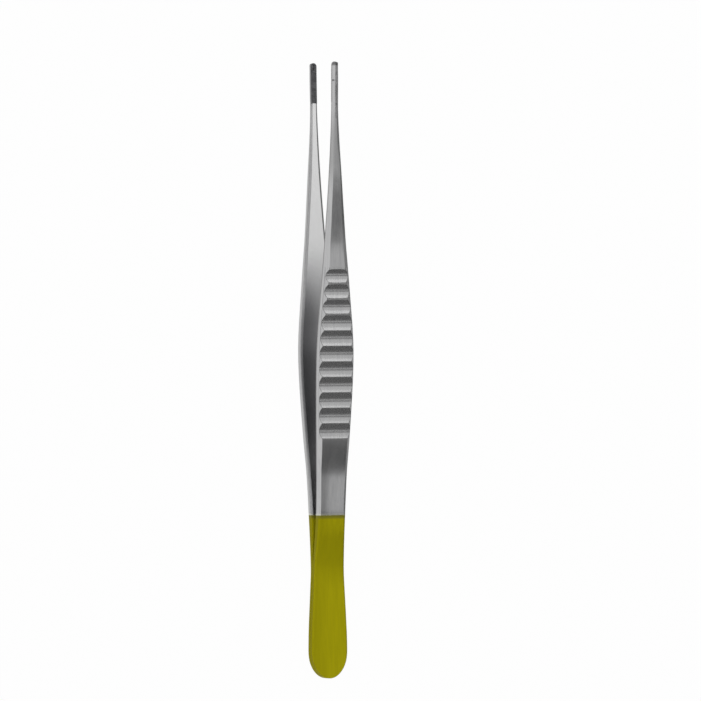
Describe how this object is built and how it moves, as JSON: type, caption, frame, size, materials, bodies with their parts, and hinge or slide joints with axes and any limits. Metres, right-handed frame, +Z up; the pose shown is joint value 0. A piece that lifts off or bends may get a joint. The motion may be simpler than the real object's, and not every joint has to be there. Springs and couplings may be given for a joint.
{
  "type": "thumb forceps",
  "caption": "Spring-armed thumb forceps with fluted grips, slim toothed jaws and a gold-coloured butt, for holding vessels and tissue.",
  "frame": {"origin": "on the table, under the middle of the forceps as it lies on its lower arm", "axes": "+Y from the butt to the jaws, +X across the arms, +Z up, which is the way the upper arm opens"},
  "size_m": [0.0132, 0.2002, 0.021],
  "materials": {
    "satin_steel": "satin, ground lengthwise, gold plated from the butt to 53 mm",
    "carbide": "matt sintered hard metal, diamond cut",
    "gold_plate": "satin gold plating over the ground weld"
  },
  "bodies": {
    "root": {"upper_arm": "satin_steel", "lower_arm": "satin_steel", "upper_jaw_pad": "carbide", "lower_jaw_pad": "carbide", "butt_weld": "gold_plate"}
  },
  "joints": []
}
